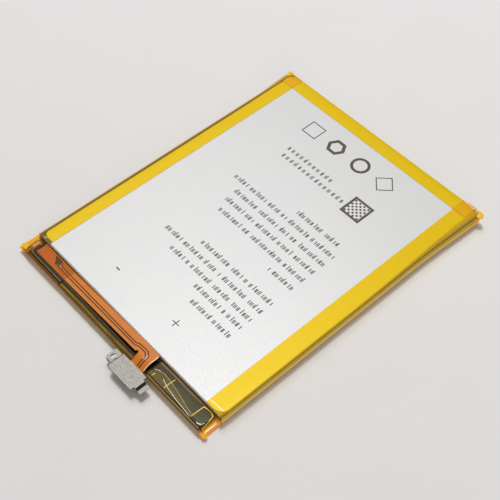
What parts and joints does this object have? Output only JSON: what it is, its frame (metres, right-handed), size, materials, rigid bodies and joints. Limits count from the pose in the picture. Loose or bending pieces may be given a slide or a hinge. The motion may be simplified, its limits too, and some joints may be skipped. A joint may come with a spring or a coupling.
{
  "type": "mobile phone battery",
  "caption": "Slim lithium-ion pouch battery pack with a white label, amber film tapes, a flex circuit and a steel-backed board connector.",
  "frame": {"origin": "centre of the pouch's flat back face", "axes": "+X across the width, with the label up and the connector end near; +Y along the length, away from the connector; +Z out of the label"},
  "size_m": [0.0606, 0.0822, 0.0034],
  "materials": {
    "laminate": "satin",
    "label_white": "satin",
    "amber_film": "gloss",
    "flex_orange": "satin",
    "pressed_steel": "satin",
    "nickel": "satin",
    "aluminium_tab": "satin",
    "board_mask": "satin",
    "black_plastic": "matte",
    "contact_gold": "gloss",
    "solder": "gloss",
    "paper_strip": "matte",
    "foam_black": "matte",
    "chip_black": "satin",
    "chip_tan": "satin"
  },
  "bodies": {
    "root": {"pouch_cell": "laminate", "face_label": "label_white", "side_tape_left": "amber_film", "side_tape_right": "amber_film", "far_end_tape": "amber_film", "terrace_tape": "amber_film", "flex_anchor_tape": "amber_film", "positive_tab": "aluminium_tab", "negative_tab": "nickel", "positive_tab_film": "black_plastic", "negative_tab_film": "black_plastic", "insulating_strip": "paper_strip", "foam_pads": "foam_black", "protection_board": "board_mask", "control_chip": "black_plastic", "switch_chips": "black_plastic", "chip_resistors": "chip_black", "chip_capacitors": "chip_tan", "chip_fuse": "chip_tan", "thermistor": "chip_black", "tab_pads": "nickel", "solder_joints": "solder", "flex_circuit": "flex_orange", "connector_plate": "pressed_steel", "connector_housing": "black_plastic", "signal_contacts": "contact_gold", "power_contacts": "contact_gold"}
  },
  "joints": []
}
